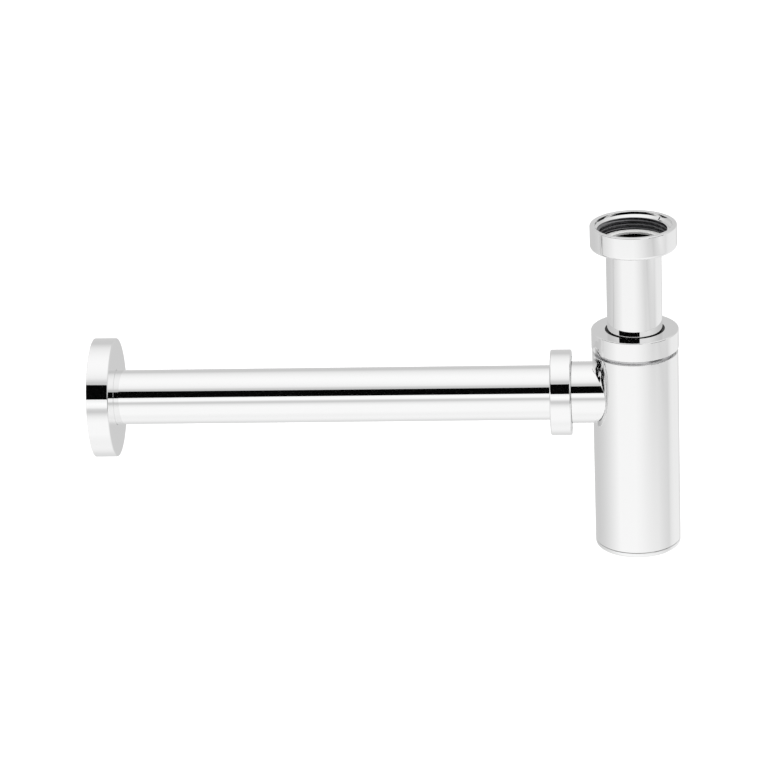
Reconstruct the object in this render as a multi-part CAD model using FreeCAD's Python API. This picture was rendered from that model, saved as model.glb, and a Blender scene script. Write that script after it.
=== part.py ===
import FreeCAD, Part
import os

# Cylindrical sink trap of chrome plated brass for a washbasin.
# The origin is the centre of the inlet gasket's upper face, where the basin waste ends.
# +Z is up, along the trap body's axis. The outlet runs towards -X, to the wall.
# All sizes are in millimetres.

# Clearances, each measured on the radius unless it says axial
slide_clearance = 0.08        # tube in a seal, a bore or a nut that turns on it
thread_clearance = 0.10       # male thread's crest to the plain wall of the female one
loose_clearance = 0.35        # inner pieces that only pass each other
seat_gap = 0.05               # axial, between faces of pieces that move apart

# Tubes, both drawn to the same diameter
tube_diameter = 32.0
tube_wall = 1.0
tube_end_chamfer = 0.3

# Inlet union, G 1 1/4 female
union_thread_minor = 38.95    # crest diameter of the female thread
union_thread_major = 41.91    # crest diameter of the male thread on the outlet spigot
nut_diameter = 50.0           # the two union nuts and the body share it
inlet_nut_height = 13.7
inlet_nut_lip = 1.65
inlet_counterbore_wall = 2.8  # width of the flat rim round the mouth
inlet_counterbore_depth = 3.0
thread_relief = 1.6           # depth of the groove where the thread runs out, round the gasket
inlet_nut_lower_edge = 2.0
nut_edge = 0.6
nut_bore_chamfer = 0.8
collar_thickness = 1.0
collar_corner = 0.5
collar_side_gap = 0.275       # collar and gasket inside the female thread
gasket_thickness = 1.0
inlet_tube_length = 81.0

# Trap body
body_wall = 1.5
outlet_drop = 93.3            # inlet seat down to the outlet's axis
body_rise = 26.0              # outlet's axis up to the body's top edge
body_depth = 95.7             # outlet's axis down to the underside of the bottom cap
body_edge = 0.3
cap_hole_edge = 0.3

# Neck ring, soldered into the top of the body
groove_height = 2.25
groove_depth = 2.5
neck_thread_depth = 1.8       # body's outside down to the neck's thread
neck_wall = 2.2
neck_skirt = 5.0              # length soldered inside the body
neck_skirt_wall = 2.0

# Cap ring, the slip washer and the seals under it
cap_ring_diameter = 50.6
cap_height = 11.4
cap_lip = 2.0
cap_hole_gap = 1.25           # open gap round the inlet tube
neck_gasket_thickness = 1.0
dip_flange_thickness = 1.5
dip_flange_side_gap = 0.4
seal_proud = 1.2
seal_taper_height = 5.8
seal_top_wall = 4.0           # thickness of a seal at its wide end
seal_tip_wall = 0.6           # and at its thin end
washer_thickness = 1.0
washer_side_gap = 1.8

# Dip tube, moulded, hung by its flange on the neck
dip_wall = 1.5
dip_depth = 68.0              # outlet's axis down to its open lower end
dip_hub_gap = 0.2             # hub inside the neck ring
dip_hub_height = 8.0
dip_hub_taper = 3.5

# Base ring, soldered into the bottom of the body, and the cleaning cap
cap_head_height = 3.2
seam_gap = 0.2
seam_chamfer = 0.25
bottom_edge = 2.0
bottom_floor = 2.6
base_ring_height = 8.5
base_ring_wall = 2.0
plug_height = 7.0
plug_wall = 2.4
oring_section = 1.6
oring_squeeze_gap = 0.02
coin_slot_width = 3.0
coin_slot_depth = 1.2
coin_slot_length = 26.0

# Outlet spigot, soldered to the side of the body
spigot_wall = 2.0             # outside diameter is the tube's plus twice this
tube_stop = 26.0              # body's axis to the end of the wall tube
spigot_head_start = 37.7      # body's axis to the back of the threaded head
outlet_seal_height = 5.0
outlet_seal_proud = 1.4

# Outlet nut
outlet_nut_length = 12.3
outlet_nut_lip = 2.0
outlet_nut_overhang = 0.5     # the nut's open end stands past the head's back
outlet_nut_edge = 0.9

# Wall tube and its wall flange
wall_tube_length = 292.0
flange_diameter = 70.0
flange_depth = 12.8
flange_wall = 1.5
flange_edge = 0.6
flange_hub_wall = 3.0
flange_hub_length = 7.0
grip_section = 1.7
grip_groove_start = 3.0       # from the flange's face

# Derived sizes
tube_r = tube_diameter / 2
tube_bore_r = tube_r - tube_wall
nut_r = nut_diameter / 2
slide_r = tube_r + slide_clearance
cap_hole_r = tube_r + cap_hole_gap
union_minor_r = union_thread_minor / 2
union_male_r = union_thread_major / 2 - slide_clearance
union_female_r = union_male_r + thread_clearance
collar_r = union_minor_r - collar_side_gap
body_bore_r = nut_r - body_wall
groove_r = nut_r - groove_depth
neck_thread_r = nut_r - neck_thread_depth
cap_ring_r = cap_ring_diameter / 2
neck_bore_r = neck_thread_r - neck_wall
cap_bore_r = neck_thread_r + thread_clearance
spigot_r = tube_r + spigot_wall

# Levels along Z
collar_top_z = -gasket_thickness
collar_under_z = collar_top_z - collar_thickness
nut_seat_z = collar_under_z - seat_gap
inlet_nut_bottom_z = nut_seat_z - inlet_nut_lip
inlet_nut_top_z = inlet_nut_bottom_z + inlet_nut_height
outlet_z = -outlet_drop
body_top_z = outlet_z + body_rise
cap_bottom_z = body_top_z + groove_height
cap_top_z = cap_bottom_z + cap_height
cap_roof_z = cap_top_z - cap_lip
washer_top_z = cap_roof_z - seat_gap
seal_top_z = washer_top_z - washer_thickness
dip_top_z = seal_top_z - seal_proud
dip_flange_z = dip_top_z - dip_flange_thickness
neck_top_z = dip_flange_z - neck_gasket_thickness
bottom_z = outlet_z - body_depth
cap_head_z = bottom_z + cap_head_height
seam_z = cap_head_z + seam_gap

# Distances along the outlet, from the body's axis towards the wall
outlet_nut_start = spigot_head_start - outlet_nut_overhang
outlet_nut_end = outlet_nut_start + outlet_nut_length
outlet_nut_roof = outlet_nut_end - outlet_nut_lip
outlet_washer_end = outlet_nut_roof - seat_gap
outlet_seal_end = outlet_washer_end - washer_thickness
spigot_end = outlet_seal_end - outlet_seal_proud
wall_tube_start = tube_stop + seat_gap
wall_tube_end = wall_tube_start + wall_tube_length
flange_face = wall_tube_end - flange_depth


def corner_cut(before, corner, after, radius):
    """Start, middle and end of an arc that rounds a corner, as (r, h) points."""
    def unit(a, b):
        length = ((b[0] - a[0]) ** 2 + (b[1] - a[1]) ** 2) ** 0.5
        return ((b[0] - a[0]) / length, (b[1] - a[1]) / length)

    u = unit(corner, before)
    v = unit(corner, after)
    half_cos = ((1 + u[0] * v[0] + u[1] * v[1]) / 2) ** 0.5
    half_sin = (1 - half_cos ** 2) ** 0.5
    reach = radius * half_cos / half_sin
    middle = unit((0, 0), (u[0] + v[0], u[1] + v[1]))
    sagitta = radius / half_sin - radius
    start = (corner[0] + u[0] * reach, corner[1] + u[1] * reach)
    end = (corner[0] + v[0] * reach, corner[1] + v[1] * reach)
    return start, (corner[0] + middle[0] * sagitta, corner[1] + middle[1] * sagitta), end


def turned(outline):
    """Solid turned about Z from a closed outline of (r, z) or (r, z, rounding) points."""
    stations = []
    for i, point in enumerate(outline):
        if len(point) == 3:
            before = outline[i - 1]
            after = outline[(i + 1) % len(outline)]
            stations.append(corner_cut(before, point, after, point[2]))
        else:
            stations.append((point,))

    def vector(p):
        return FreeCAD.Vector(p[0], 0, p[1])

    edges = []
    for i, station in enumerate(stations):
        if len(station) == 3:
            start, middle, end = map(vector, station)
            edges.append(Part.Arc(start, middle, end).toShape())
        leave = vector(station[-1])
        arrive = vector(stations[(i + 1) % len(stations)][0])
        if leave.distanceToPoint(arrive) > 1e-7:
            edges.append(Part.LineSegment(leave, arrive).toShape())
    face = Part.Face(Part.Wire(edges))
    return face.revolve(FreeCAD.Vector(0, 0, 0), FreeCAD.Vector(0, 0, 1), 360)


def along_outlet(solid):
    """Turn a piece made about Z so that its height runs along the outlet, towards -X."""
    solid.rotate(FreeCAD.Vector(0, 0, 0), FreeCAD.Vector(0, 1, 0), -90)
    solid.translate(FreeCAD.Vector(0, 0, outlet_z))
    return solid


def ring(inner_r, outer_r, low, high):
    """Plain flat ring."""
    return turned([(inner_r, low), (outer_r, low), (outer_r, high), (inner_r, high)])


def round_section_ring(inner_r, section, middle):
    """Ring of round rubber cord."""
    section_r = section / 2
    torus = Part.makeTorus(inner_r + section_r, section_r)
    torus.translate(FreeCAD.Vector(0, 0, middle))
    return torus


def inlet_nut():
    """Round union nut: flat rim, counterbore, female thread and a thin lip under the collar."""
    thread_top_z = inlet_nut_top_z - inlet_counterbore_depth
    counterbore_r = nut_r - inlet_counterbore_wall
    return turned([
        (slide_r, inlet_nut_bottom_z),
        (nut_r, inlet_nut_bottom_z, inlet_nut_lower_edge),
        (nut_r, inlet_nut_top_z, nut_edge),
        (counterbore_r, inlet_nut_top_z),
        (counterbore_r, thread_top_z),
        (union_minor_r, thread_top_z),
        (union_minor_r, 0),
        (union_minor_r + thread_relief, 0),
        (union_minor_r + thread_relief, nut_seat_z),
        (slide_r + nut_bore_chamfer, nut_seat_z),
        (slide_r, nut_seat_z - nut_bore_chamfer),
    ])


def inlet_gasket():
    """Flat white washer on the tube's collar."""
    return ring(tube_bore_r, collar_r, collar_top_z, 0)


def inlet_tube():
    """Adjusting tube with its upper end flared out to a flat collar."""
    low = -inlet_tube_length
    return turned([
        (tube_bore_r, low),
        (tube_r - tube_end_chamfer, low),
        (tube_r, low + tube_end_chamfer),
        (tube_r, collar_under_z - collar_corner),
        (tube_r + collar_corner, collar_under_z),
        (collar_r, collar_under_z),
        (collar_r, collar_top_z),
        (tube_bore_r + collar_corner, collar_top_z),
        (tube_bore_r, collar_top_z - collar_corner),
    ])


def cap_ring():
    """Round nut on the neck: its lip presses the washer and the seal on to the inlet tube."""
    return turned([
        (cap_bore_r, cap_bottom_z),
        (cap_ring_r - body_edge, cap_bottom_z),
        (cap_ring_r, cap_bottom_z + body_edge),
        (cap_ring_r, cap_top_z, nut_edge),
        (cap_hole_r + cap_hole_edge, cap_top_z),
        (cap_hole_r, cap_top_z - cap_hole_edge),
        (cap_hole_r, cap_roof_z),
        (cap_bore_r, cap_roof_z),
    ])


def cap_washer():
    """Stiff slip washer that lets the cap ring turn on the seal."""
    return ring(slide_r, cap_bore_r - washer_side_gap, seal_top_z, washer_top_z)


def taper_seal(seat_level, height, proud):
    """Rubber seal: thin end down, with its wide end standing proud of the conical seat."""
    return turned([
        (slide_r, seat_level - height),
        (slide_r + seal_tip_wall, seat_level - height),
        (slide_r + seal_top_wall, seat_level),
        (slide_r + seal_top_wall, seat_level + proud),
        (slide_r, seat_level + proud),
    ])


def dip_tube():
    """Moulded dip tube with a flange, a conical seal seat and a hub inside the neck ring."""
    bore_r = tube_r + loose_clearance
    outer_r = bore_r + dip_wall
    hub_r = neck_bore_r - dip_hub_gap
    hub_low_z = dip_flange_z - dip_hub_height
    seat_low_z = dip_top_z - seal_taper_height
    return turned([
        (bore_r, outlet_z - dip_depth),
        (outer_r, outlet_z - dip_depth),
        (outer_r, hub_low_z - dip_hub_taper),
        (hub_r, hub_low_z),
        (hub_r, dip_flange_z),
        (neck_thread_r - dip_flange_side_gap, dip_flange_z),
        (neck_thread_r - dip_flange_side_gap, dip_top_z),
        (slide_r + seal_top_wall, dip_top_z),
        (slide_r + seal_tip_wall, seat_low_z),
        (bore_r, seat_low_z),
    ])


def neck_gasket():
    """Flat ring that seals the dip tube's flange on the neck."""
    return ring(neck_bore_r, neck_thread_r - dip_flange_side_gap, neck_top_z, dip_flange_z)


def neck_ring():
    """Turned ring with the groove's floor, the neck's male thread and a skirt in the body."""
    skirt_low_z = body_top_z - neck_skirt
    return turned([
        (body_bore_r - neck_skirt_wall, skirt_low_z),
        (body_bore_r, skirt_low_z),
        (body_bore_r, body_top_z),
        (groove_r, body_top_z),
        (groove_r, cap_bottom_z - seat_gap),
        (neck_thread_r, cap_bottom_z - seat_gap),
        (neck_thread_r, neck_top_z),
        (neck_bore_r, neck_top_z),
        (neck_bore_r, body_top_z - neck_wall),
    ])


def outlet_way(radius, length):
    """Round rod along the outlet, from the body's axis out."""
    rod = Part.makeCylinder(radius, length)
    return along_outlet(rod)


def body_shell():
    """Drawn tube of the body, with the hole that the spigot is soldered into."""
    shell = turned([
        (body_bore_r, seam_z),
        (nut_r - seam_chamfer, seam_z),
        (nut_r, seam_z + seam_chamfer),
        (nut_r, body_top_z - body_edge),
        (nut_r - body_edge, body_top_z),
        (body_bore_r, body_top_z),
    ])
    return shell.cut(outlet_way(spigot_r, spigot_head_start))


def base_ring():
    """Female threaded ring soldered into the bottom of the body."""
    return ring(body_bore_r - base_ring_wall, body_bore_r, seam_z, seam_z + base_ring_height)


def bottom_cap():
    """Cleaning cap: a head flush with the body, a hollow threaded plug and a coin slot."""
    plug_r = body_bore_r - base_ring_wall - thread_clearance
    groove_floor_z = seam_z - oring_squeeze_gap - oring_section
    groove_outer_r = plug_r + oring_section
    cap = turned([
        (0, bottom_z),
        (nut_r, bottom_z, bottom_edge),
        (nut_r, cap_head_z - seam_chamfer),
        (nut_r - seam_chamfer, cap_head_z),
        (groove_outer_r, cap_head_z),
        (groove_outer_r, groove_floor_z),
        (plug_r, groove_floor_z),
        (plug_r, seam_z + plug_height),
        (plug_r - plug_wall, seam_z + plug_height),
        (plug_r - plug_wall, bottom_z + bottom_floor),
        (0, bottom_z + bottom_floor),
    ])
    slot = Part.makeBox(coin_slot_length, coin_slot_width, coin_slot_depth)
    slot.translate(FreeCAD.Vector(-coin_slot_length / 2, -coin_slot_width / 2, bottom_z))
    return cap.cut(slot)


def bottom_oring():
    """Ring of rubber cord round the plug, under the base ring."""
    plug_r = body_bore_r - base_ring_wall - thread_clearance
    middle = seam_z - oring_squeeze_gap - oring_section / 2
    return round_section_ring(plug_r, oring_section, middle)


def outlet_spigot():
    """Turned spigot: a slip bore with a tube stop, a threaded head and a conical seal seat."""
    seat_start = spigot_end - outlet_seal_height
    spigot = turned([
        (tube_bore_r, 0),
        (spigot_r, 0),
        (spigot_r, spigot_head_start),
        (union_male_r, spigot_head_start),
        (union_male_r, spigot_end),
        (slide_r + seal_top_wall, spigot_end),
        (slide_r + seal_tip_wall, seat_start),
        (slide_r, seat_start),
        (slide_r, tube_stop),
        (tube_bore_r, tube_stop),
    ])
    bore = Part.makeCylinder(body_bore_r, 4 * tube_diameter)
    bore.translate(FreeCAD.Vector(0, 0, outlet_z - 2 * tube_diameter))
    return along_outlet(spigot).cut(bore)


def outlet_nut():
    """Round nut on the spigot's head: its lip faces the wall and closes on the wall tube."""
    return along_outlet(turned([
        (union_female_r, outlet_nut_start),
        (nut_r, outlet_nut_start, outlet_nut_edge),
        (nut_r, outlet_nut_end, outlet_nut_edge),
        (cap_hole_r + cap_hole_edge, outlet_nut_end),
        (cap_hole_r, outlet_nut_end - cap_hole_edge),
        (cap_hole_r, outlet_nut_roof),
        (union_female_r, outlet_nut_roof),
    ]))


def outlet_seal():
    """Rubber taper seal in the mouth of the spigot, round the wall tube."""
    return along_outlet(taper_seal(spigot_end, outlet_seal_height, outlet_seal_proud))


def outlet_washer():
    """Stiff slip washer between the outlet nut's lip and the seal."""
    outer_r = slide_r + seal_top_wall
    return along_outlet(ring(slide_r, outer_r, outlet_seal_end, outlet_washer_end))


def wall_tube():
    """Straight outlet tube to the wall."""
    return along_outlet(turned([
        (tube_bore_r, wall_tube_start),
        (tube_r - tube_end_chamfer, wall_tube_start),
        (tube_r, wall_tube_start + tube_end_chamfer),
        (tube_r, wall_tube_end - tube_end_chamfer),
        (tube_r - tube_end_chamfer, wall_tube_end),
        (tube_bore_r, wall_tube_end),
    ]))


def wall_flange():
    """Deep round flange, open at the back, with an inner hub grooved for the grip ring."""
    flange_r = flange_diameter / 2
    hub_r = slide_r + flange_hub_wall
    groove_r_outer = slide_r + grip_section
    groove_start = flange_face + grip_groove_start
    groove_end = groove_start + grip_section
    inside_face = flange_face + flange_wall
    return along_outlet(turned([
        (slide_r, flange_face),
        (flange_r, flange_face, flange_edge),
        (flange_r, wall_tube_end),
        (flange_r - flange_wall, wall_tube_end),
        (flange_r - flange_wall, inside_face),
        (hub_r, inside_face),
        (hub_r, flange_face + flange_hub_length),
        (slide_r, flange_face + flange_hub_length),
        (slide_r, groove_end),
        (groove_r_outer, groove_end),
        (groove_r_outer, groove_start),
        (slide_r, groove_start),
    ]))


def flange_grip_ring():
    """Ring of rubber cord in the hub's groove, which holds the flange on the tube."""
    middle = flange_face + grip_groove_start + grip_section / 2
    return along_outlet(round_section_ring(slide_r, grip_section, middle))


pieces = {
    "inlet_nut": inlet_nut(),
    "inlet_gasket": inlet_gasket(),
    "inlet_tube": inlet_tube(),
    "cap_ring": cap_ring(),
    "cap_washer": cap_washer(),
    "cap_seal": taper_seal(dip_top_z, seal_taper_height, seal_proud),
    "dip_tube": dip_tube(),
    "neck_gasket": neck_gasket(),
    "neck_ring": neck_ring(),
    "body_shell": body_shell(),
    "base_ring": base_ring(),
    "bottom_cap": bottom_cap(),
    "bottom_oring": bottom_oring(),
    "outlet_spigot": outlet_spigot(),
    "outlet_nut": outlet_nut(),
    "outlet_seal": outlet_seal(),
    "outlet_washer": outlet_washer(),
    "wall_tube": wall_tube(),
    "wall_flange": wall_flange(),
    "flange_grip_ring": flange_grip_ring(),
}

os.makedirs("parts", exist_ok=True)
for node, shape in pieces.items():
    shape.exportStep(f"parts/{node}.step")
    print(f"{node:18s} volume {shape.Volume / 1000:8.3f} cm3  solids {len(shape.Solids)}")
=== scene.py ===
import bpy
import bmesh
import math
from mathutils import Matrix, Vector


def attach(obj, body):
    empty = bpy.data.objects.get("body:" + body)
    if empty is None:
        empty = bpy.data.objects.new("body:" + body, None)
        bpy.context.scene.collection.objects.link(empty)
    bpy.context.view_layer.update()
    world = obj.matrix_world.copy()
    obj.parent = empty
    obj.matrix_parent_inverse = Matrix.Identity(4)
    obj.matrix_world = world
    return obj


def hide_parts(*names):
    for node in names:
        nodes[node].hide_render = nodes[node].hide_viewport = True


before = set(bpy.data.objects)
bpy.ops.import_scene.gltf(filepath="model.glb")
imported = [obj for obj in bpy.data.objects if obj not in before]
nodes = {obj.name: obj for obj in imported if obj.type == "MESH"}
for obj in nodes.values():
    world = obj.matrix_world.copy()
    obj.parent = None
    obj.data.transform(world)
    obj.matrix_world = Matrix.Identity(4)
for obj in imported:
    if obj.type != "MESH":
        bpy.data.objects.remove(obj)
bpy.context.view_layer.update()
mm = 0.001


# Inlet nut: a round union nut, turned from a brass forging, threaded G 1 1/4 inside
# and chromed all over. Its rim is flat, with a short counterbore and a lead-in above
# the thread. A thin lip at its lower end hangs on the collar of the inlet tube.
nut_radius = 25.0
nut_top = 10.0
nut_bottom = -3.7
nut_seat = -2.05
counterbore_radius = 22.2
lead_in_top = 8.25
lead_in_radius = 20.955
thread_top = 7.0
thread_foot = 0.0
thread_pitch = 2.309
thread_middle = 20.215
relief_radius = 21.075
sliding_radius = 16.08
lip_chamfer = 0.8
rim_rounding = 0.6
hole_rounding = 0.3
lower_rounding = 2.0


def linear(colour):
    """An sRGB hex colour as linear red, green, blue and alpha."""
    parts = [int(colour[i:i + 2], 16) / 255 for i in (1, 3, 5)]
    curve = [p / 12.92 if p <= 0.04045 else ((p + 0.055) / 1.055) ** 2.4 for p in parts]
    return (*curve, 1.0)


def add_node(tree, kind, settings=(), links=()):
    """A node with its properties or socket values set, and its sockets linked."""
    node = tree.nodes.new(kind)
    for name, value in dict(settings).items():
        if isinstance(name, str) and name in node.bl_rna.properties:
            setattr(node, name, value)
        else:
            node.inputs[name].default_value = value
    for name, source in dict(links).items():
        tree.links.new(source, node.inputs[name])
    return node


def start_material(name):
    """An empty material with its output node."""
    material = bpy.data.materials.new(name)
    material.use_nodes = True
    material.node_tree.nodes.clear()
    return material, material.node_tree


# Polished chrome on brass: nickel and chromium plated over buffed brass, bright and
# neutral. Buffing leaves faint clouds about 15 mm wide, where the gloss varies.
polished_chrome, tree = start_material("polished_chrome_on_brass")
place = add_node(tree, "ShaderNodeTexCoord")
cloud_width = 15 * mm
clouds = add_node(tree, "ShaderNodeTexNoise", {"Scale": 1 / cloud_width, "Detail": 3.0, "Roughness": 0.5},
                  {"Vector": place.outputs["Object"]})
gloss = add_node(tree, "ShaderNodeMapRange", {"To Min": 0.018, "To Max": 0.042},
                 {"Value": clouds.outputs["Fac"]})
chrome_shader = add_node(tree, "ShaderNodeBsdfPrincipled",
                         {"Base Color": linear("#EFEFEF"), "Metallic": 1.0},
                         {"Roughness": gloss.outputs["Result"]})
add_node(tree, "ShaderNodeOutputMaterial", (), {"Surface": chrome_shader.outputs["BSDF"]})


# Nickel in the nut's thread: no buff reaches it, so it stays soft. Its dark colour is
# painted shade for the recess inside the nut, with a bloom about 2 mm wide.
thread_plate_painted_shade, tree = start_material("nickel_thread_with_painted_shade")
place = add_node(tree, "ShaderNodeTexCoord")
bloom_width = 2 * mm
bloom = add_node(tree, "ShaderNodeTexNoise", {"Scale": 1 / bloom_width, "Detail": 4.0},
                 {"Vector": place.outputs["Object"]})
tint = add_node(tree, "ShaderNodeMix",
                {"data_type": "RGBA", "A": linear("#646466"), "B": linear("#848486")},
                {"Factor": bloom.outputs["Fac"]})
thread_shade_shader = add_node(tree, "ShaderNodeBsdfPrincipled", {"Metallic": 1.0, "Roughness": 0.2},
                       {"Base Color": tint.outputs["Result"]})
add_node(tree, "ShaderNodeOutputMaterial", (), {"Surface": thread_shade_shader.outputs["BSDF"]})


def turn_outline(name, outline, closed=True, steps=160):
    """A turned piece about the upright axis, from (radius, height) points in millimetres.

    A ring of edges is extruded and resized from point to point, as a former is followed
    on a lathe. A closed outline comes back to its first point.
    """
    bpy.ops.object.select_all(action="DESELECT")
    radius, height = outline[0]
    bpy.ops.mesh.primitive_circle_add(vertices=steps, radius=radius * mm)
    piece = bpy.context.object
    piece.name = piece.data.name = name
    bpy.ops.object.mode_set(mode="EDIT")
    bpy.ops.mesh.select_all(action="SELECT")
    bpy.ops.transform.translate(value=(0, 0, height * mm))
    for next_radius, next_height in outline[1:] + (outline[:1] if closed else []):
        rise = (0, 0, (next_height - height) * mm)
        bpy.ops.mesh.extrude_edges_move(TRANSFORM_OT_translate={"value": rise})
        ratio = next_radius / radius
        bpy.ops.transform.resize(value=(ratio, ratio, 1), center_override=(0, 0, 0),
                                 constraint_axis=(True, True, False))
        radius, height = next_radius, next_height
    bpy.ops.mesh.select_all(action="SELECT")
    bpy.ops.mesh.remove_doubles(threshold=1e-6)
    bpy.ops.mesh.normals_make_consistent(inside=False)
    bpy.ops.object.mode_set(mode="OBJECT")
    return piece


def pick_edges(piece, wanted):
    """Selects, in edit mode, the edges whose two ends both answer to wanted(radius, height)."""
    mesh = bmesh.from_edit_mesh(piece.data)
    bpy.ops.mesh.select_all(action="DESELECT")
    for edge in mesh.edges:
        ends = [(math.hypot(v.co.x, v.co.y) / mm, v.co.z / mm) for v in edge.verts]
        if all(wanted(*end) for end in ends):
            edge.select_set(True)
    bmesh.update_edit_mesh(piece.data)


def round_rims(piece, rims, segments=4):
    """Rounds the edges that run round a turned piece. A rim is (radius, height, rounding)."""
    bpy.ops.object.mode_set(mode="EDIT")
    bpy.ops.mesh.select_mode(type="EDGE")
    for radius, height, rounding in rims:
        pick_edges(piece, lambda r, z: abs(r - radius) < 0.01 and abs(z - height) < 0.01)
        bpy.ops.mesh.bevel(offset=rounding * mm, segments=segments, profile=0.5,
                           affect="EDGES", clamp_overlap=True)
    bpy.ops.object.mode_set(mode="OBJECT")


def finish_surface(piece, material, angle=32):
    """Smooth shading that keeps flats flat up to their rounded edges, and the material."""
    bpy.ops.object.select_all(action="DESELECT")
    piece.select_set(True)
    bpy.context.view_layer.objects.active = piece
    bpy.ops.object.shade_smooth_by_angle(angle=math.radians(angle))
    weighting = piece.modifiers.new("flats stay flat", "WEIGHTED_NORMAL")
    weighting.keep_sharp = True
    bpy.ops.object.modifier_apply(modifier=weighting.name)
    piece.data.materials.clear()
    piece.data.materials.append(material)


def thread_height(step):
    """Height of a pipe thread over its middle line, in pitches, at a step from its crest.

    The crest is an arc, the flanks stand 55 degrees apart, and the root mirrors the crest.
    """
    arc_radius, arc_centre, arc_end = 0.1373, 0.1829, 0.1218
    flank_start, flank_slope = 0.4802, 1.921
    side = min(step, 0.5 - step)
    if side < arc_end:
        height = arc_centre + math.sqrt(arc_radius ** 2 - side ** 2)
    else:
        height = flank_start - flank_slope * side
    return height if step < 0.25 else -height


def cut_thread(piece, wall, foot, top, pitch, outside=False, rows=20):
    """Cuts a right-hand thread into a plain wall that stands at the thread's middle radius.

    The wall is divided into rows of faces, and each of their points is moved in or out.
    """
    bpy.ops.object.mode_set(mode="EDIT")
    bpy.ops.mesh.select_mode(type="EDGE")
    bpy.ops.mesh.select_all(action="DESELECT")
    mesh = bmesh.from_edit_mesh(piece.data)
    for edge in mesh.edges:
        low, high = sorted(v.co.z / mm for v in edge.verts)
        upright = abs(low - foot) < 0.01 and abs(high - top) < 0.01
        on_wall = all(abs(math.hypot(v.co.x, v.co.y) / mm - wall) < 0.01 for v in edge.verts)
        edge.select_set(upright and on_wall)
    bmesh.update_edit_mesh(piece.data)
    bpy.ops.mesh.subdivide(number_cuts=round((top - foot) / pitch * rows))
    mesh = bmesh.from_edit_mesh(piece.data)
    for vertex in mesh.verts:
        radius, level = math.hypot(vertex.co.x, vertex.co.y) / mm, vertex.co.z / mm
        if abs(radius - wall) < 0.01 and foot - 0.01 < level < top + 0.01:
            turn = math.atan2(vertex.co.y, vertex.co.x) / math.tau
            step = abs((level / pitch - turn + 0.5) % 1 - 0.5)
            height = thread_height(step) * pitch * (1 if outside else -1)
            vertex.co.x *= 1 + height / radius
            vertex.co.y *= 1 + height / radius
    bmesh.update_edit_mesh(piece.data)
    bpy.ops.object.mode_set(mode="OBJECT")


inlet_nut = turn_outline("inlet_nut_chromed", [
    (thread_middle, thread_foot),
    (thread_middle, thread_top),
    (lead_in_radius, thread_top),
    (counterbore_radius, lead_in_top),
    (counterbore_radius, nut_top),
    (nut_radius, nut_top),
    (nut_radius, nut_bottom),
    (sliding_radius, nut_bottom),
    (sliding_radius, nut_seat - lip_chamfer),
    (sliding_radius + lip_chamfer, nut_seat),
    (relief_radius, nut_seat),
    (relief_radius, thread_foot),
])
round_rims(inlet_nut, [(nut_radius, nut_top, rim_rounding),
                       (counterbore_radius, nut_top, hole_rounding)])
round_rims(inlet_nut, [(nut_radius, nut_bottom, lower_rounding)], segments=8)
cut_thread(inlet_nut, thread_middle, thread_foot, thread_top, thread_pitch)
finish_surface(inlet_nut, polished_chrome)
# The thread's faces inside the nut take this plate, with its painted shade.
inlet_nut.data.materials.append(thread_plate_painted_shade)
for face in inlet_nut.data.polygons:
    inside = math.hypot(face.center.x, face.center.y) < (relief_radius + 0.01) * mm
    face.material_index = 1 if inside and nut_seat < face.center.z / mm < thread_top - 0.01 else 0
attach(inlet_nut, "inlet_union")
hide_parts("inlet_nut")


# Inlet gasket: a flat ring cut from white rubber, on which the basin waste seats.
# Moulded rubber is matt and slightly warm, with a fine grain from the mould.
gasket_outer = 19.2
gasket_foot = -1.0
collar_under = -2.0
gasket_rounding = 0.12
tube_bore = 15.0
white_rubber, tree = start_material("moulded_white_rubber")
place = add_node(tree, "ShaderNodeTexCoord")
grain_width = 0.8 * mm
grain = add_node(tree, "ShaderNodeTexNoise", {"Scale": 1 / grain_width, "Detail": 2.0},
                 {"Vector": place.outputs["Object"]})
tint = add_node(tree, "ShaderNodeMix",
                {"data_type": "RGBA", "A": linear("#F6F6F5"), "B": linear("#FCFCFB")},
                {"Factor": grain.outputs["Fac"]})
dents = add_node(tree, "ShaderNodeBump", {"Strength": 0.15, "Distance": 0.05 * mm},
                 {"Height": grain.outputs["Fac"]})
rubber_shader = add_node(tree, "ShaderNodeBsdfPrincipled", {"Roughness": 0.55, "IOR": 1.5},
                         {"Base Color": tint.outputs["Result"], "Normal": dents.outputs["Normal"]})
add_node(tree, "ShaderNodeOutputMaterial", (), {"Surface": rubber_shader.outputs["BSDF"]})

inlet_gasket = turn_outline("inlet_gasket_white", [
    (tube_bore, gasket_foot), (gasket_outer, gasket_foot), (gasket_outer, 0.0), (tube_bore, 0.0)])
round_rims(inlet_gasket, [(gasket_outer, 0.0, gasket_rounding), (tube_bore, 0.0, gasket_rounding)],
           segments=2)
finish_surface(inlet_gasket, white_rubber)
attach(inlet_gasket, "inlet_pipe")
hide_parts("inlet_gasket")


# Inlet tube: 32 mm brass tube, drawn, with its upper end flared out to a flat collar
# that hangs in the nut. It slides through the cap ring's seal into the body.
tube_radius = 16.0
tube_foot = -81.0
tube_chamfer = 0.3
inlet_tube = turn_outline("inlet_tube_chromed", [
    (tube_bore, tube_foot),
    (tube_radius - tube_chamfer, tube_foot),
    (tube_radius, tube_foot + tube_chamfer),
    (tube_radius, collar_under),
    (gasket_outer, collar_under),
    (gasket_outer, gasket_foot),
    (tube_bore, gasket_foot),
])
round_rims(inlet_tube, [(tube_radius, collar_under, tube_chamfer),
                        (tube_bore, gasket_foot, tube_chamfer)])
finish_surface(inlet_tube, polished_chrome)
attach(inlet_tube, "inlet_pipe")
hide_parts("inlet_tube")


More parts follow.
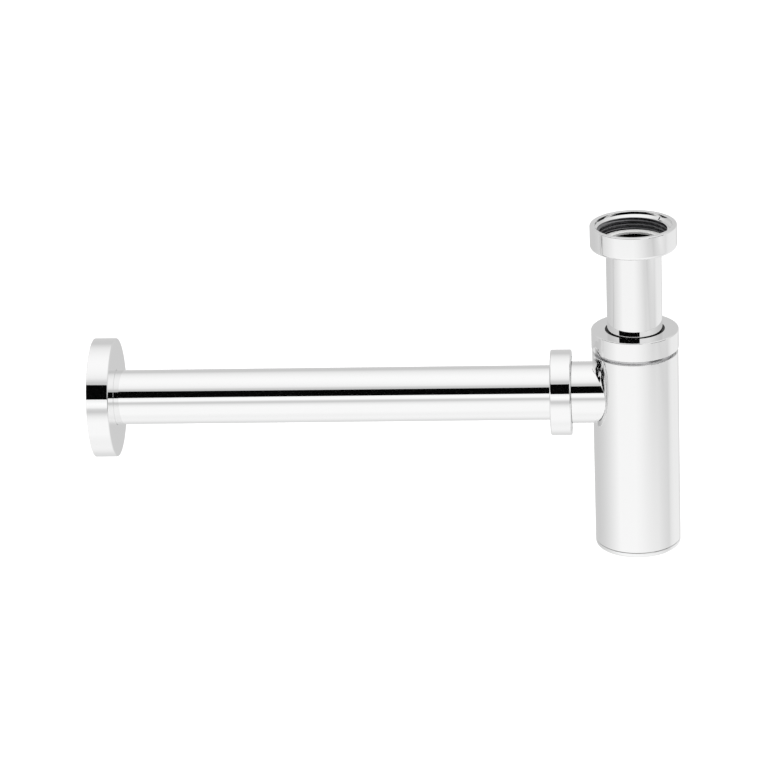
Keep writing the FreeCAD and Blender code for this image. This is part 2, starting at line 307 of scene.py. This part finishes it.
# Cap ring: the round nut on top of the body. Its roof has an open gap round the tube,
# and presses the slip washer on to the taper seal when it is screwed down.
cap_ring_radius = 25.3
cap_top = -53.65
cap_roof = -55.65
cap_bottom = -65.05
cap_hole = 17.25
cap_bore = 23.3
cap_ring = turn_outline("cap_ring_chromed", [
    (cap_bore, cap_bottom),
    (cap_ring_radius, cap_bottom),
    (cap_ring_radius, cap_top),
    (cap_hole, cap_top),
    (cap_hole, cap_roof),
    (cap_bore, cap_roof),
])
round_rims(cap_ring, [(cap_ring_radius, cap_top, rim_rounding),
                      (cap_ring_radius, cap_bottom, hole_rounding),
                      (cap_hole, cap_top, hole_rounding)])
finish_surface(cap_ring, polished_chrome)
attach(cap_ring, "cap")
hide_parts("cap_ring")


# Neck ring: turned brass, soldered into the top of the body. The floor of the groove
# under the cap ring belongs to it, and its thread carries the cap ring. It is plated
# with the body, but no buff reaches it and it stays dull, with a bloom about 2 mm wide.
body_top = -67.3
body_bore = 23.5
groove_radius = 22.5
groove_taper = 0.3
neck_thread_foot = cap_bottom - 0.05
neck_thread_middle = 22.72
fine_pitch = 1.5
neck_bore = 21.0
neck_top = -60.4
neck_shoulder = body_top - 2.2
skirt_foot = body_top - 5.0
skirt_wall = 2.0
dull_plate, tree = start_material("unpolished_nickel_plate")
place = add_node(tree, "ShaderNodeTexCoord")
bloom = add_node(tree, "ShaderNodeTexNoise", {"Scale": 1 / bloom_width, "Detail": 4.0},
                 {"Vector": place.outputs["Object"]})
tint = add_node(tree, "ShaderNodeMix",
                {"data_type": "RGBA", "A": linear("#CDCDCE"), "B": linear("#E3E3E4")},
                {"Factor": bloom.outputs["Fac"]})
dull_shader = add_node(tree, "ShaderNodeBsdfPrincipled", {"Metallic": 1.0, "Roughness": 0.28},
                       {"Base Color": tint.outputs["Result"]})
add_node(tree, "ShaderNodeOutputMaterial", (), {"Surface": dull_shader.outputs["BSDF"]})

neck_ring = turn_outline("neck_ring_plated", [
    (body_bore - skirt_wall, skirt_foot),
    (body_bore, skirt_foot),
    (body_bore, body_top),
    (groove_radius, body_top),
    (groove_radius - groove_taper, neck_thread_foot),
    (neck_thread_middle, neck_thread_foot),
    (neck_thread_middle, neck_top),
    (neck_bore, neck_top),
    (neck_bore, neck_shoulder),
])
cut_thread(neck_ring, neck_thread_middle, neck_thread_foot, neck_top, fine_pitch, outside=True)
finish_surface(neck_ring, dull_plate)
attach(neck_ring, "trap")
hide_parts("neck_ring")


# Body: drawn brass tube with a hole in its side for the outlet spigot, polished and
# chromed after soldering. Its wall has two rings of points near the hole, so that the
# cut leaves no long thin faces.
outlet_level = -93.3
seam_level = -185.6
spigot_radius = 18.0
ring_below, ring_above = -120.0, -70.0
body_top_rounding = 0.3
seam_rounding = 0.25
rod_core = 0.5
body_shell = turn_outline("body_shell_chromed", [
    (body_bore, seam_level),
    (nut_radius, seam_level),
    (nut_radius, ring_below),
    (nut_radius, ring_above),
    (nut_radius, body_top),
    (body_bore, body_top),
], steps=192)
round_rims(body_shell, [(nut_radius, body_top, body_top_rounding),
                        (nut_radius, seam_level, seam_rounding)], segments=3)


def upright_to_outlet(piece):
    """Lays a piece that was turned upright along the outlet, with its height towards -X."""
    bpy.ops.object.select_all(action="DESELECT")
    piece.select_set(True)
    bpy.context.view_layer.objects.active = piece
    piece.rotation_euler = (0, math.radians(-90), 0)
    piece.location = (0, 0, outlet_level * mm)
    bpy.ops.object.transform_apply(location=True, rotation=True, scale=True)


def cut_away(piece, tool):
    """Cuts a tool solid out of a piece and removes the tool."""
    bpy.ops.object.select_all(action="DESELECT")
    piece.select_set(True)
    bpy.context.view_layer.objects.active = piece
    cut = piece.modifiers.new("cut", "BOOLEAN")
    cut.operation, cut.solver, cut.object = "DIFFERENCE", "EXACT", tool
    bpy.ops.object.modifier_apply(modifier=cut.name)
    bpy.data.objects.remove(tool)


hole_start, hole_end = 10.0, 37.0
hole_cutter = turn_outline("hole_cutter", [
    (rod_core, hole_start), (spigot_radius, hole_start), (spigot_radius, hole_end), (rod_core, hole_end)],
    steps=128)
upright_to_outlet(hole_cutter)
cut_away(body_shell, hole_cutter)
finish_surface(body_shell, polished_chrome)
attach(body_shell, "trap")
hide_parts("body_shell")


# Cleaning cap: turned brass, screwed into the bottom of the body with a coin slot in
# its underside. A seam of 0.2 mm stays open between its head and the body.
bottom_level = -189.0
cap_head = -185.8
plug_root = 20.4
plug_thread_middle = 20.92
plug_top = seam_level + 7.0
plug_bore = plug_root - 1.4
cap_floor = bottom_level + 2.6
centre_radius = 2.0
oring_outer = 23.0
oring_groove_foot = -187.22
coin_slot_length, coin_slot_width, coin_slot_depth = 26.0, 3.0, 1.2
bottom_cap = turn_outline("bottom_cap_chromed", [
    (centre_radius, bottom_level),
    (nut_radius, bottom_level),
    (nut_radius, cap_head),
    (oring_outer, cap_head),
    (oring_outer, oring_groove_foot),
    (plug_root, oring_groove_foot),
    (plug_root, seam_level),
    (plug_thread_middle, seam_level),
    (plug_thread_middle, plug_top),
    (plug_bore, plug_top),
    (plug_bore, cap_floor),
    (centre_radius, cap_floor),
], closed=False)
bpy.ops.object.mode_set(mode="EDIT")
bpy.ops.mesh.select_mode(type="EDGE")
for level in (bottom_level, cap_floor):
    pick_edges(bottom_cap, lambda r, z: r < centre_radius + 0.1 and abs(z - level) < 0.01)
    bpy.ops.mesh.edge_face_add()
bpy.ops.mesh.select_all(action="SELECT")
bpy.ops.mesh.normals_make_consistent(inside=False)
bpy.ops.object.mode_set(mode="OBJECT")
cut_thread(bottom_cap, plug_thread_middle, seam_level, plug_top, fine_pitch, outside=True)
round_rims(bottom_cap, [(nut_radius, bottom_level, lower_rounding)], segments=8)
round_rims(bottom_cap, [(nut_radius, cap_head, seam_rounding)], segments=3)
bpy.ops.object.select_all(action="DESELECT")
bpy.ops.mesh.primitive_cube_add(size=1, location=(0, 0, bottom_level * mm))
slot_cutter = bpy.context.object
slot_cutter.scale = (coin_slot_length * mm, coin_slot_width * mm, 2 * coin_slot_depth * mm)
bpy.ops.object.transform_apply(location=True, rotation=True, scale=True)
cut_away(bottom_cap, slot_cutter)
finish_surface(bottom_cap, polished_chrome)
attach(bottom_cap, "cleaning_cap")
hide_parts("bottom_cap")


# Outlet spigot: turned brass, soldered into the side of the body. Its bore holds the
# wall tube, and its threaded head has a conical seat for the seal.
spigot_start = 17.0
tube_stop = 26.0
spigot_end = 45.05
seat_depth = 5.0
seat_wide, seat_narrow = 20.08, 16.68
spigot_head = 37.7
spigot_pilot = 20.875
spigot_thread_end = 43.15
spigot_thread_middle = 20.136
outlet_spigot = turn_outline("outlet_spigot_chromed", [
    (tube_bore, spigot_start),
    (spigot_radius, spigot_start),
    (spigot_radius, spigot_head),
    (spigot_thread_middle, spigot_head),
    (spigot_thread_middle, spigot_thread_end),
    (spigot_pilot, spigot_thread_end),
    (spigot_pilot, spigot_end),
    (seat_wide, spigot_end),
    (seat_narrow, spigot_end - seat_depth),
    (sliding_radius, spigot_end - seat_depth),
    (sliding_radius, tube_stop),
    (tube_bore, tube_stop),
])
cut_thread(outlet_spigot, spigot_thread_middle, spigot_head, spigot_thread_end, thread_pitch,
           outside=True)
upright_to_outlet(outlet_spigot)
rod_foot = -150.0
body_bore_rod = turn_outline("body_bore_rod", [
    (rod_core, rod_foot), (body_bore, rod_foot), (body_bore, ring_above), (rod_core, ring_above)],
    steps=192)
cut_away(outlet_spigot, body_bore_rod)
finish_surface(outlet_spigot, polished_chrome)
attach(outlet_spigot, "trap")
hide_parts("outlet_spigot")


# Outlet nut: a round brass nut that screws on the spigot's head and holds the washer
# and the taper seal against the wall tube.
outlet_nut_start = 37.2
outlet_nut_end = 49.5
outlet_nut_lip = outlet_nut_end - 2.0
outlet_nut_bore = 20.975
outlet_nut_rounding = 0.9
outlet_nut = turn_outline("outlet_nut_chromed", [
    (outlet_nut_bore, outlet_nut_start),
    (nut_radius, outlet_nut_start),
    (nut_radius, outlet_nut_end),
    (cap_hole, outlet_nut_end),
    (cap_hole, outlet_nut_lip),
    (outlet_nut_bore, outlet_nut_lip),
])
round_rims(outlet_nut, [(nut_radius, outlet_nut_start, outlet_nut_rounding),
                        (nut_radius, outlet_nut_end, outlet_nut_rounding),
                        (cap_hole, outlet_nut_end, hole_rounding)])
upright_to_outlet(outlet_nut)
finish_surface(outlet_nut, polished_chrome)
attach(outlet_nut, "outlet_union")
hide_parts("outlet_nut")


# Wall tube: 32 mm brass tube, drawn and chromed, that runs to the drain in the wall. It
# slides in the spigot's bore as far as a stop, and the outlet nut's seal grips it.
wall_tube_start = 26.05
wall_tube_end = 318.05
wall_tube = turn_outline("wall_tube_chromed", [
    (tube_bore, wall_tube_start),
    (tube_radius, wall_tube_start),
    (tube_radius, wall_tube_end),
    (tube_bore, wall_tube_end),
])
round_rims(wall_tube, [(tube_radius, wall_tube_start, tube_chamfer),
                       (tube_radius, wall_tube_end, tube_chamfer)], segments=2)
upright_to_outlet(wall_tube)
finish_surface(wall_tube, polished_chrome)
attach(wall_tube, "outlet_pipe")
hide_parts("wall_tube")


# Wall flange: a deep round cover pressed from brass sheet, open at the back. A short
# hub inside it holds the rubber ring that grips the tube, and the rim of its hole is
# rounded where the sheet turns into the hub.
flange_radius = 35.0
flange_face = 305.25
flange_wall = 1.5
flange_inside = flange_face + flange_wall
hub_radius = sliding_radius + 3.0
hub_end = flange_face + 7.0
grip_radius = sliding_radius + 1.7
grip_start, grip_end = flange_face + 3.0, flange_face + 4.7
flange_hole_rounding = 0.5
flange_back_rounding = 0.2
wall_flange = turn_outline("wall_flange_chromed", [
    (sliding_radius, flange_face),
    (flange_radius, flange_face),
    (flange_radius, wall_tube_end),
    (flange_radius - flange_wall, wall_tube_end),
    (flange_radius - flange_wall, flange_inside),
    (hub_radius, flange_inside),
    (hub_radius, hub_end),
    (sliding_radius, hub_end),
    (sliding_radius, grip_end),
    (grip_radius, grip_end),
    (grip_radius, grip_start),
    (sliding_radius, grip_start),
], steps=192)
round_rims(wall_flange, [(flange_radius, flange_face, rim_rounding),
                         (sliding_radius, flange_face, flange_hole_rounding),
                         (flange_radius, wall_tube_end, flange_back_rounding)])
upright_to_outlet(wall_flange)
finish_surface(wall_flange, polished_chrome)
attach(wall_flange, "flange")
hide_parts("wall_flange")


# Seals: moulded black rubber, matt and a little dusty. The cap's taper seal, the neck
# gasket, the outlet's taper seal, the cleaning cap's o-ring and the flange's grip ring.
black_rubber, tree = start_material("moulded_black_rubber")
place = add_node(tree, "ShaderNodeTexCoord")
dust_width = 1.5 * mm
dust = add_node(tree, "ShaderNodeTexNoise", {"Scale": 1 / dust_width, "Detail": 3.0},
                {"Vector": place.outputs["Object"]})
tint = add_node(tree, "ShaderNodeMix",
                {"data_type": "RGBA", "A": linear("#1B1B1C"), "B": linear("#2C2C2D")},
                {"Factor": dust.outputs["Fac"]})
rubber_shader = add_node(tree, "ShaderNodeBsdfPrincipled", {"Roughness": 0.65, "IOR": 1.5},
                         {"Base Color": tint.outputs["Result"]})
add_node(tree, "ShaderNodeOutputMaterial", (), {"Surface": rubber_shader.outputs["BSDF"]})
for name in ("cap_seal", "neck_gasket", "outlet_seal", "bottom_oring", "flange_grip_ring"):
    nodes[name].data.materials.clear()
    nodes[name].data.materials.append(black_rubber)


# Slip washers: near-black plastic, smooth with a soft sheen. The cap's washer shows in
# the open gap round the inlet tube, and its colour makes the gap dark.
black_plastic, tree = start_material("black_slip_washer_plastic")
place = add_node(tree, "ShaderNodeTexCoord")
sheen_width = 3 * mm
sheen = add_node(tree, "ShaderNodeTexNoise", {"Scale": 1 / sheen_width, "Detail": 2.0},
                 {"Vector": place.outputs["Object"]})
gloss = add_node(tree, "ShaderNodeMapRange", {"To Min": 0.42, "To Max": 0.55},
                 {"Value": sheen.outputs["Fac"]})
plastic_shader = add_node(tree, "ShaderNodeBsdfPrincipled",
                          {"Base Color": linear("#141415"), "IOR": 1.51},
                          {"Roughness": gloss.outputs["Result"]})
add_node(tree, "ShaderNodeOutputMaterial", (), {"Surface": plastic_shader.outputs["BSDF"]})
for name in ("cap_washer", "outlet_washer"):
    nodes[name].data.materials.clear()
    nodes[name].data.materials.append(black_plastic)


# Dip tube: moulded white polypropylene, smooth with a soft sheen and a faint flow
# pattern from the mould. It stands hidden inside the body.
white_plastic, tree = start_material("moulded_white_polypropylene")
place = add_node(tree, "ShaderNodeTexCoord")
flow_width = 6 * mm
flow = add_node(tree, "ShaderNodeTexNoise",
                {"Scale": 1 / flow_width, "Detail": 2.0, "Distortion": 0.6},
                {"Vector": place.outputs["Object"]})
tint = add_node(tree, "ShaderNodeMix",
                {"data_type": "RGBA", "A": linear("#E6E6E1"), "B": linear("#EFEFEB")},
                {"Factor": flow.outputs["Fac"]})
plastic_shader = add_node(tree, "ShaderNodeBsdfPrincipled", {"Roughness": 0.38, "IOR": 1.49},
                          {"Base Color": tint.outputs["Result"]})
add_node(tree, "ShaderNodeOutputMaterial", (), {"Surface": plastic_shader.outputs["BSDF"]})
nodes["dip_tube"].data.materials.clear()
nodes["dip_tube"].data.materials.append(white_plastic)


# Base ring: turned brass, soldered into the bottom of the body and left unplated inside,
# yellow and slightly dull with fine turning lines round it.
turned_brass, tree = start_material("turned_brass")
place = add_node(tree, "ShaderNodeTexCoord")
line_spacing = 2.4 * mm
lines = add_node(tree, "ShaderNodeTexWave",
                 {"wave_type": "BANDS", "bands_direction": "Z", "Scale": 1 / line_spacing,
                  "Distortion": 0.4},
                 {"Vector": place.outputs["Object"]})
dullness = add_node(tree, "ShaderNodeMapRange", {"To Min": 0.28, "To Max": 0.42},
                    {"Value": lines.outputs["Fac"]})
brass_shader = add_node(tree, "ShaderNodeBsdfPrincipled",
                        {"Base Color": linear("#D9B86A"), "Metallic": 1.0},
                        {"Roughness": dullness.outputs["Result"]})
add_node(tree, "ShaderNodeOutputMaterial", (), {"Surface": brass_shader.outputs["BSDF"]})
nodes["base_ring"].data.materials.clear()
nodes["base_ring"].data.materials.append(turned_brass)


# Floor: a wide board in matt white paint, well below the hanging trap. The chrome doesn't
# see it, because the white tent closes under the trap as well.
floor_width = 14
floor_middle = (0, 3, -0.75)
bpy.ops.object.select_all(action="DESELECT")
bpy.ops.mesh.primitive_plane_add(size=floor_width, location=floor_middle)
floor = bpy.context.object
floor.name = "studio_floor"
floor_paint, tree = start_material("matt_white_floor_paint")
floor_shader = add_node(tree, "ShaderNodeBsdfDiffuse", {"Color": linear("#FFFFFF")})
add_node(tree, "ShaderNodeOutputMaterial", (), {"Surface": floor_shader.outputs["BSDF"]})
floor.data.materials.append(floor_paint)
floor.visible_glossy = False


# Top light: one very wide, soft light overhead for the floor and for what is matt, the
# gasket above all. The chrome sees only the tent.
top_light_strength = 1.15
top_light_spread = 120
bpy.ops.object.light_add(type="SUN", location=(0, 0, 2))
top_light = bpy.context.object
top_light.name = "soft_top_light"
top_light.data.energy = top_light_strength
top_light.data.angle = math.radians(top_light_spread)
top_light.visible_glossy = False


# Black cloths: matt felt that hangs round the trap. The broad one, above the camera,
# draws the dark lines in the chrome. The flag on the left and the curtain on the right
# darken what the spigot and the body mirror of each other.
view_centre = Vector((-0.1473, 0.0, -0.0865))
view_forward = Vector((-0.08771, 0.92276, -0.37525))
towards_camera = Vector((-view_forward.x, -view_forward.y, 0)).normalized()
cloth_distance = 1.2

black_felt, tree = start_material("black_felt")
felt_shader = add_node(tree, "ShaderNodeBsdfDiffuse", {"Color": linear("#060606")})
add_node(tree, "ShaderNodeOutputMaterial", (), {"Surface": felt_shader.outputs["BSDF"]})


def hang_cloth(name, left, right, low, high):
    """A black cloth that hangs round the trap, between angles in degrees.

    Left and right are counted round from the camera, low and high up from the horizon.
    """
    bpy.ops.object.select_all(action="DESELECT")
    bpy.ops.mesh.primitive_plane_add(size=1)
    cloth = bpy.context.object
    cloth.name = cloth.data.name = name
    bpy.ops.object.mode_set(mode="EDIT")
    mesh = bmesh.from_edit_mesh(cloth.data)
    bmesh.ops.delete(mesh, geom=[v for v in mesh.verts if v.co.x > 0], context="VERTS")
    start = Matrix.Rotation(math.radians(left), 3, "Z") @ towards_camera
    for vertex in mesh.verts:
        tilt = math.radians(low if vertex.co.y < 0 else high)
        slant = start * math.cos(tilt) + Vector((0, 0, math.sin(tilt)))
        vertex.co = view_centre + cloth_distance * slant
    bmesh.update_edit_mesh(cloth.data)
    bpy.ops.mesh.select_all(action="SELECT")
    bpy.ops.mesh.spin(steps=24, angle=math.radians(left - right), center=view_centre, axis=(0, 0, 1))
    bpy.ops.object.mode_set(mode="OBJECT")
    cloth.data.materials.append(black_felt)
    cloth.visible_camera = False
    cloth.visible_shadow = False


hang_cloth("black_cloth", -71, 22, 17, 43)
hang_cloth("black_flag", -118, -71, 34, 52)
hang_cloth("black_curtain", 40, 80, -12, 13)


# Grey film: painted shade for the corner between floor and side wall on the right, which
# is in shade. The film is seen only in reflections and takes light from what the chrome
# sees, most in the corner. It thins out evenly towards the back.
film_level = -0.7
film_left, film_right = -0.2, 1.9
film_back, film_front = -0.6, 2.2
film_clear, film_full = -0.5, 1.25
to_right = Matrix.Rotation(math.radians(90), 3, "Z") @ towards_camera
bpy.ops.object.select_all(action="DESELECT")
bpy.ops.mesh.primitive_plane_add(size=1)
painted_shade_film = bpy.context.object
painted_shade_film.name = "painted_shade_film"
bpy.ops.object.mode_set(mode="EDIT")
mesh = bmesh.from_edit_mesh(painted_shade_film.data)
for vertex in mesh.verts:
    across = film_left if vertex.co.x < 0 else film_right
    along = film_back if vertex.co.y < 0 else film_front
    vertex.co = to_right * across + towards_camera * along + Vector((0, 0, film_level))
bmesh.update_edit_mesh(painted_shade_film.data)
bpy.ops.object.mode_set(mode="OBJECT")
film, tree = start_material("painted_shade_with_soft_edges")
place = add_node(tree, "ShaderNodeTexCoord")
across = add_node(tree, "ShaderNodeVectorMath", {"operation": "DOT_PRODUCT", 1: to_right},
                  {0: place.outputs["Object"]})
along = add_node(tree, "ShaderNodeVectorMath", {"operation": "DOT_PRODUCT", 1: towards_camera},
                 {0: place.outputs["Object"]})
width = add_node(tree, "ShaderNodeMapRange", {"From Min": film_left, "From Max": film_right},
                 {"Value": across.outputs["Value"]})
painted_shade_levels = add_node(tree, "ShaderNodeValToRGB", (), {"Fac": width.outputs["Result"]})
elements = painted_shade_levels.color_ramp.elements
elements[0].color = elements[1].color = (1, 1, 1, 1)
# Grey levels of the painted shade, by distance across the film.
for distance, level in ((0.1, 0.97), (0.3, 0.94), (0.64, 0.88), (0.9, 0.82), (1.14, 0.76),
                        (1.35, 0.74), (1.48, 0.68), (1.6, 0.72), (1.75, 0.80)):
    position = (distance - film_left) / (film_right - film_left)
    elements.new(position).color = (level, level, level, 1)
fade = add_node(tree, "ShaderNodeMapRange", {"From Min": film_clear, "From Max": film_full},
                {"Value": along.outputs["Value"]})
tint = add_node(tree, "ShaderNodeMix", {"data_type": "RGBA", "A": (1, 1, 1, 1)},
                {"Factor": fade.outputs["Result"], "B": painted_shade_levels.outputs["Color"]})
painted_shade_shader = add_node(tree, "ShaderNodeBsdfTransparent", (), {"Color": tint.outputs["Result"]})
add_node(tree, "ShaderNodeOutputMaterial", (), {"Surface": painted_shade_shader.outputs["BSDF"]})
painted_shade_film.data.materials.append(film)
painted_shade_film.visible_camera = False
painted_shade_film.visible_diffuse = False
painted_shade_film.visible_shadow = False


# The tent: white cloth all round, brightest overhead and low at the front, a little greyer
# behind the trap and near the horizon, with one lit side wall at the back on the right.
# The camera itself sees plain white.
world = bpy.data.worlds.new("white_tent")
bpy.context.scene.world = world
world.use_nodes = True
tree = world.node_tree
tree.nodes.clear()
brightest = 1.5
tent_strength = 1.144


def tent_ramp(height, stops):
    """Brightness of the tent by elevation in degrees, as a share of its brightest part."""
    ramp = add_node(tree, "ShaderNodeValToRGB", (), {"Fac": height})
    elements = ramp.color_ramp.elements
    elements[0].position, elements[1].position = 0.0, 1.0
    for i, (elevation, level) in enumerate(stops):
        position = math.sin(math.radians(elevation)) * 0.5 + 0.5
        if i == 0:
            element = elements[0]
        elif i == len(stops) - 1:
            element = elements[-1]
        else:
            element = elements.new(position)
        element.color = (level / brightest,) * 3 + (1,)
    return ramp.outputs["Color"]


place = add_node(tree, "ShaderNodeTexCoord")
apart = add_node(tree, "ShaderNodeSeparateXYZ", (), {"Vector": place.outputs["Generated"]})
height = add_node(tree, "ShaderNodeMapRange", {"From Min": -1.0, "From Max": 1.0},
                  {"Value": apart.outputs["Z"]})
front = tent_ramp(height.outputs["Result"], [
    (-90, 1.37), (-64, 1.43), (-28, 1.43), (-21, 1.38), (-14.6, 1.25), (-6, 0.89), (-1.5, 0.98),
    (3, 1.38), (9, 1.50), (45, 0.85), (50, 0.92), (58.5, 1.28), (68, 1.39), (90, 1.45)])
back = tent_ramp(height.outputs["Result"], [
    (-90, 1.37), (-72, 1.22), (-61, 1.07), (-46, 1.0), (-22, 0.85), (2, 0.9), (18, 0.88),
    (29, 0.88), (38, 1.05), (46, 1.21), (53, 1.29), (66, 1.37), (90, 1.45)])
facing = add_node(tree, "ShaderNodeVectorMath", {"operation": "DOT_PRODUCT", 1: towards_camera},
                  {0: place.outputs["Generated"]})
share = add_node(tree, "ShaderNodeMapRange", {"From Min": -0.95, "From Max": 0.55},
                 {"Value": facing.outputs["Value"]})
curve = add_node(tree, "ShaderNodeMath", {"operation": "POWER", 1: 1.8},
                 {0: share.outputs["Result"]})
side_wall_turn, side_wall_reach, side_wall_dip = math.radians(120), 0.927, 0.375
side_wall = Matrix.Rotation(side_wall_turn, 3, "Z") @ towards_camera * side_wall_reach
side_wall -= Vector((0, 0, side_wall_dip))
siding = add_node(tree, "ShaderNodeVectorMath", {"operation": "DOT_PRODUCT", 1: side_wall},
                  {0: place.outputs["Generated"]})
lit_wall = add_node(tree, "ShaderNodeMapRange", {"From Min": 0.74, "From Max": 0.98, "To Max": 0.72,
                                                 "interpolation_type": "SMOOTHSTEP"},
                    {"Value": siding.outputs["Value"]})
brighter = add_node(tree, "ShaderNodeMath", {"operation": "MAXIMUM"},
                    {0: curve.outputs["Value"], 1: lit_wall.outputs["Result"]})
mixed = add_node(tree, "ShaderNodeMix", {"data_type": "RGBA"},
                 {"Factor": brighter.outputs["Value"], "A": back, "B": front})
tent = add_node(tree, "ShaderNodeBackground", {"Strength": tent_strength},
                {"Color": mixed.outputs["Result"]})
plain = add_node(tree, "ShaderNodeBackground", {"Color": (1, 1, 1, 1), "Strength": 1.0})
rays = add_node(tree, "ShaderNodeLightPath")
either = add_node(tree, "ShaderNodeMixShader", (), {0: rays.outputs["Is Camera Ray"],
                                                    1: tent.outputs["Background"],
                                                    2: plain.outputs["Background"]})
add_node(tree, "ShaderNodeOutputWorld", (), {"Surface": either.outputs["Shader"]})


# Camera: a long lens nearly two metres away, 22 degrees above the outlet tube and rolled
# by under 3 degrees. Colours are shown as they are, with no film look over them.
camera_distance = 1.959
lens_length, sensor_width = 157.0, 36.0
roll = math.radians(-2.698)
right = view_forward.cross(Vector((0, 0, 1))).normalized()
up = right.cross(view_forward)
picture_right = math.cos(roll) * right + math.sin(roll) * up
picture_up = -math.sin(roll) * right + math.cos(roll) * up
lens = bpy.data.cameras.new("photo_camera")
lens.lens, lens.sensor_width = lens_length, sensor_width
lens.clip_start, lens.clip_end = 0.05, 50.0
camera = bpy.data.objects.new("photo_camera", lens)
bpy.context.scene.collection.objects.link(camera)
axes = Matrix((picture_right, picture_up, -view_forward)).transposed().to_4x4()
camera.matrix_world = Matrix.Translation(view_centre - view_forward * camera_distance) @ axes
bpy.context.scene.camera = camera
bpy.context.scene.view_settings.view_transform = "Standard"
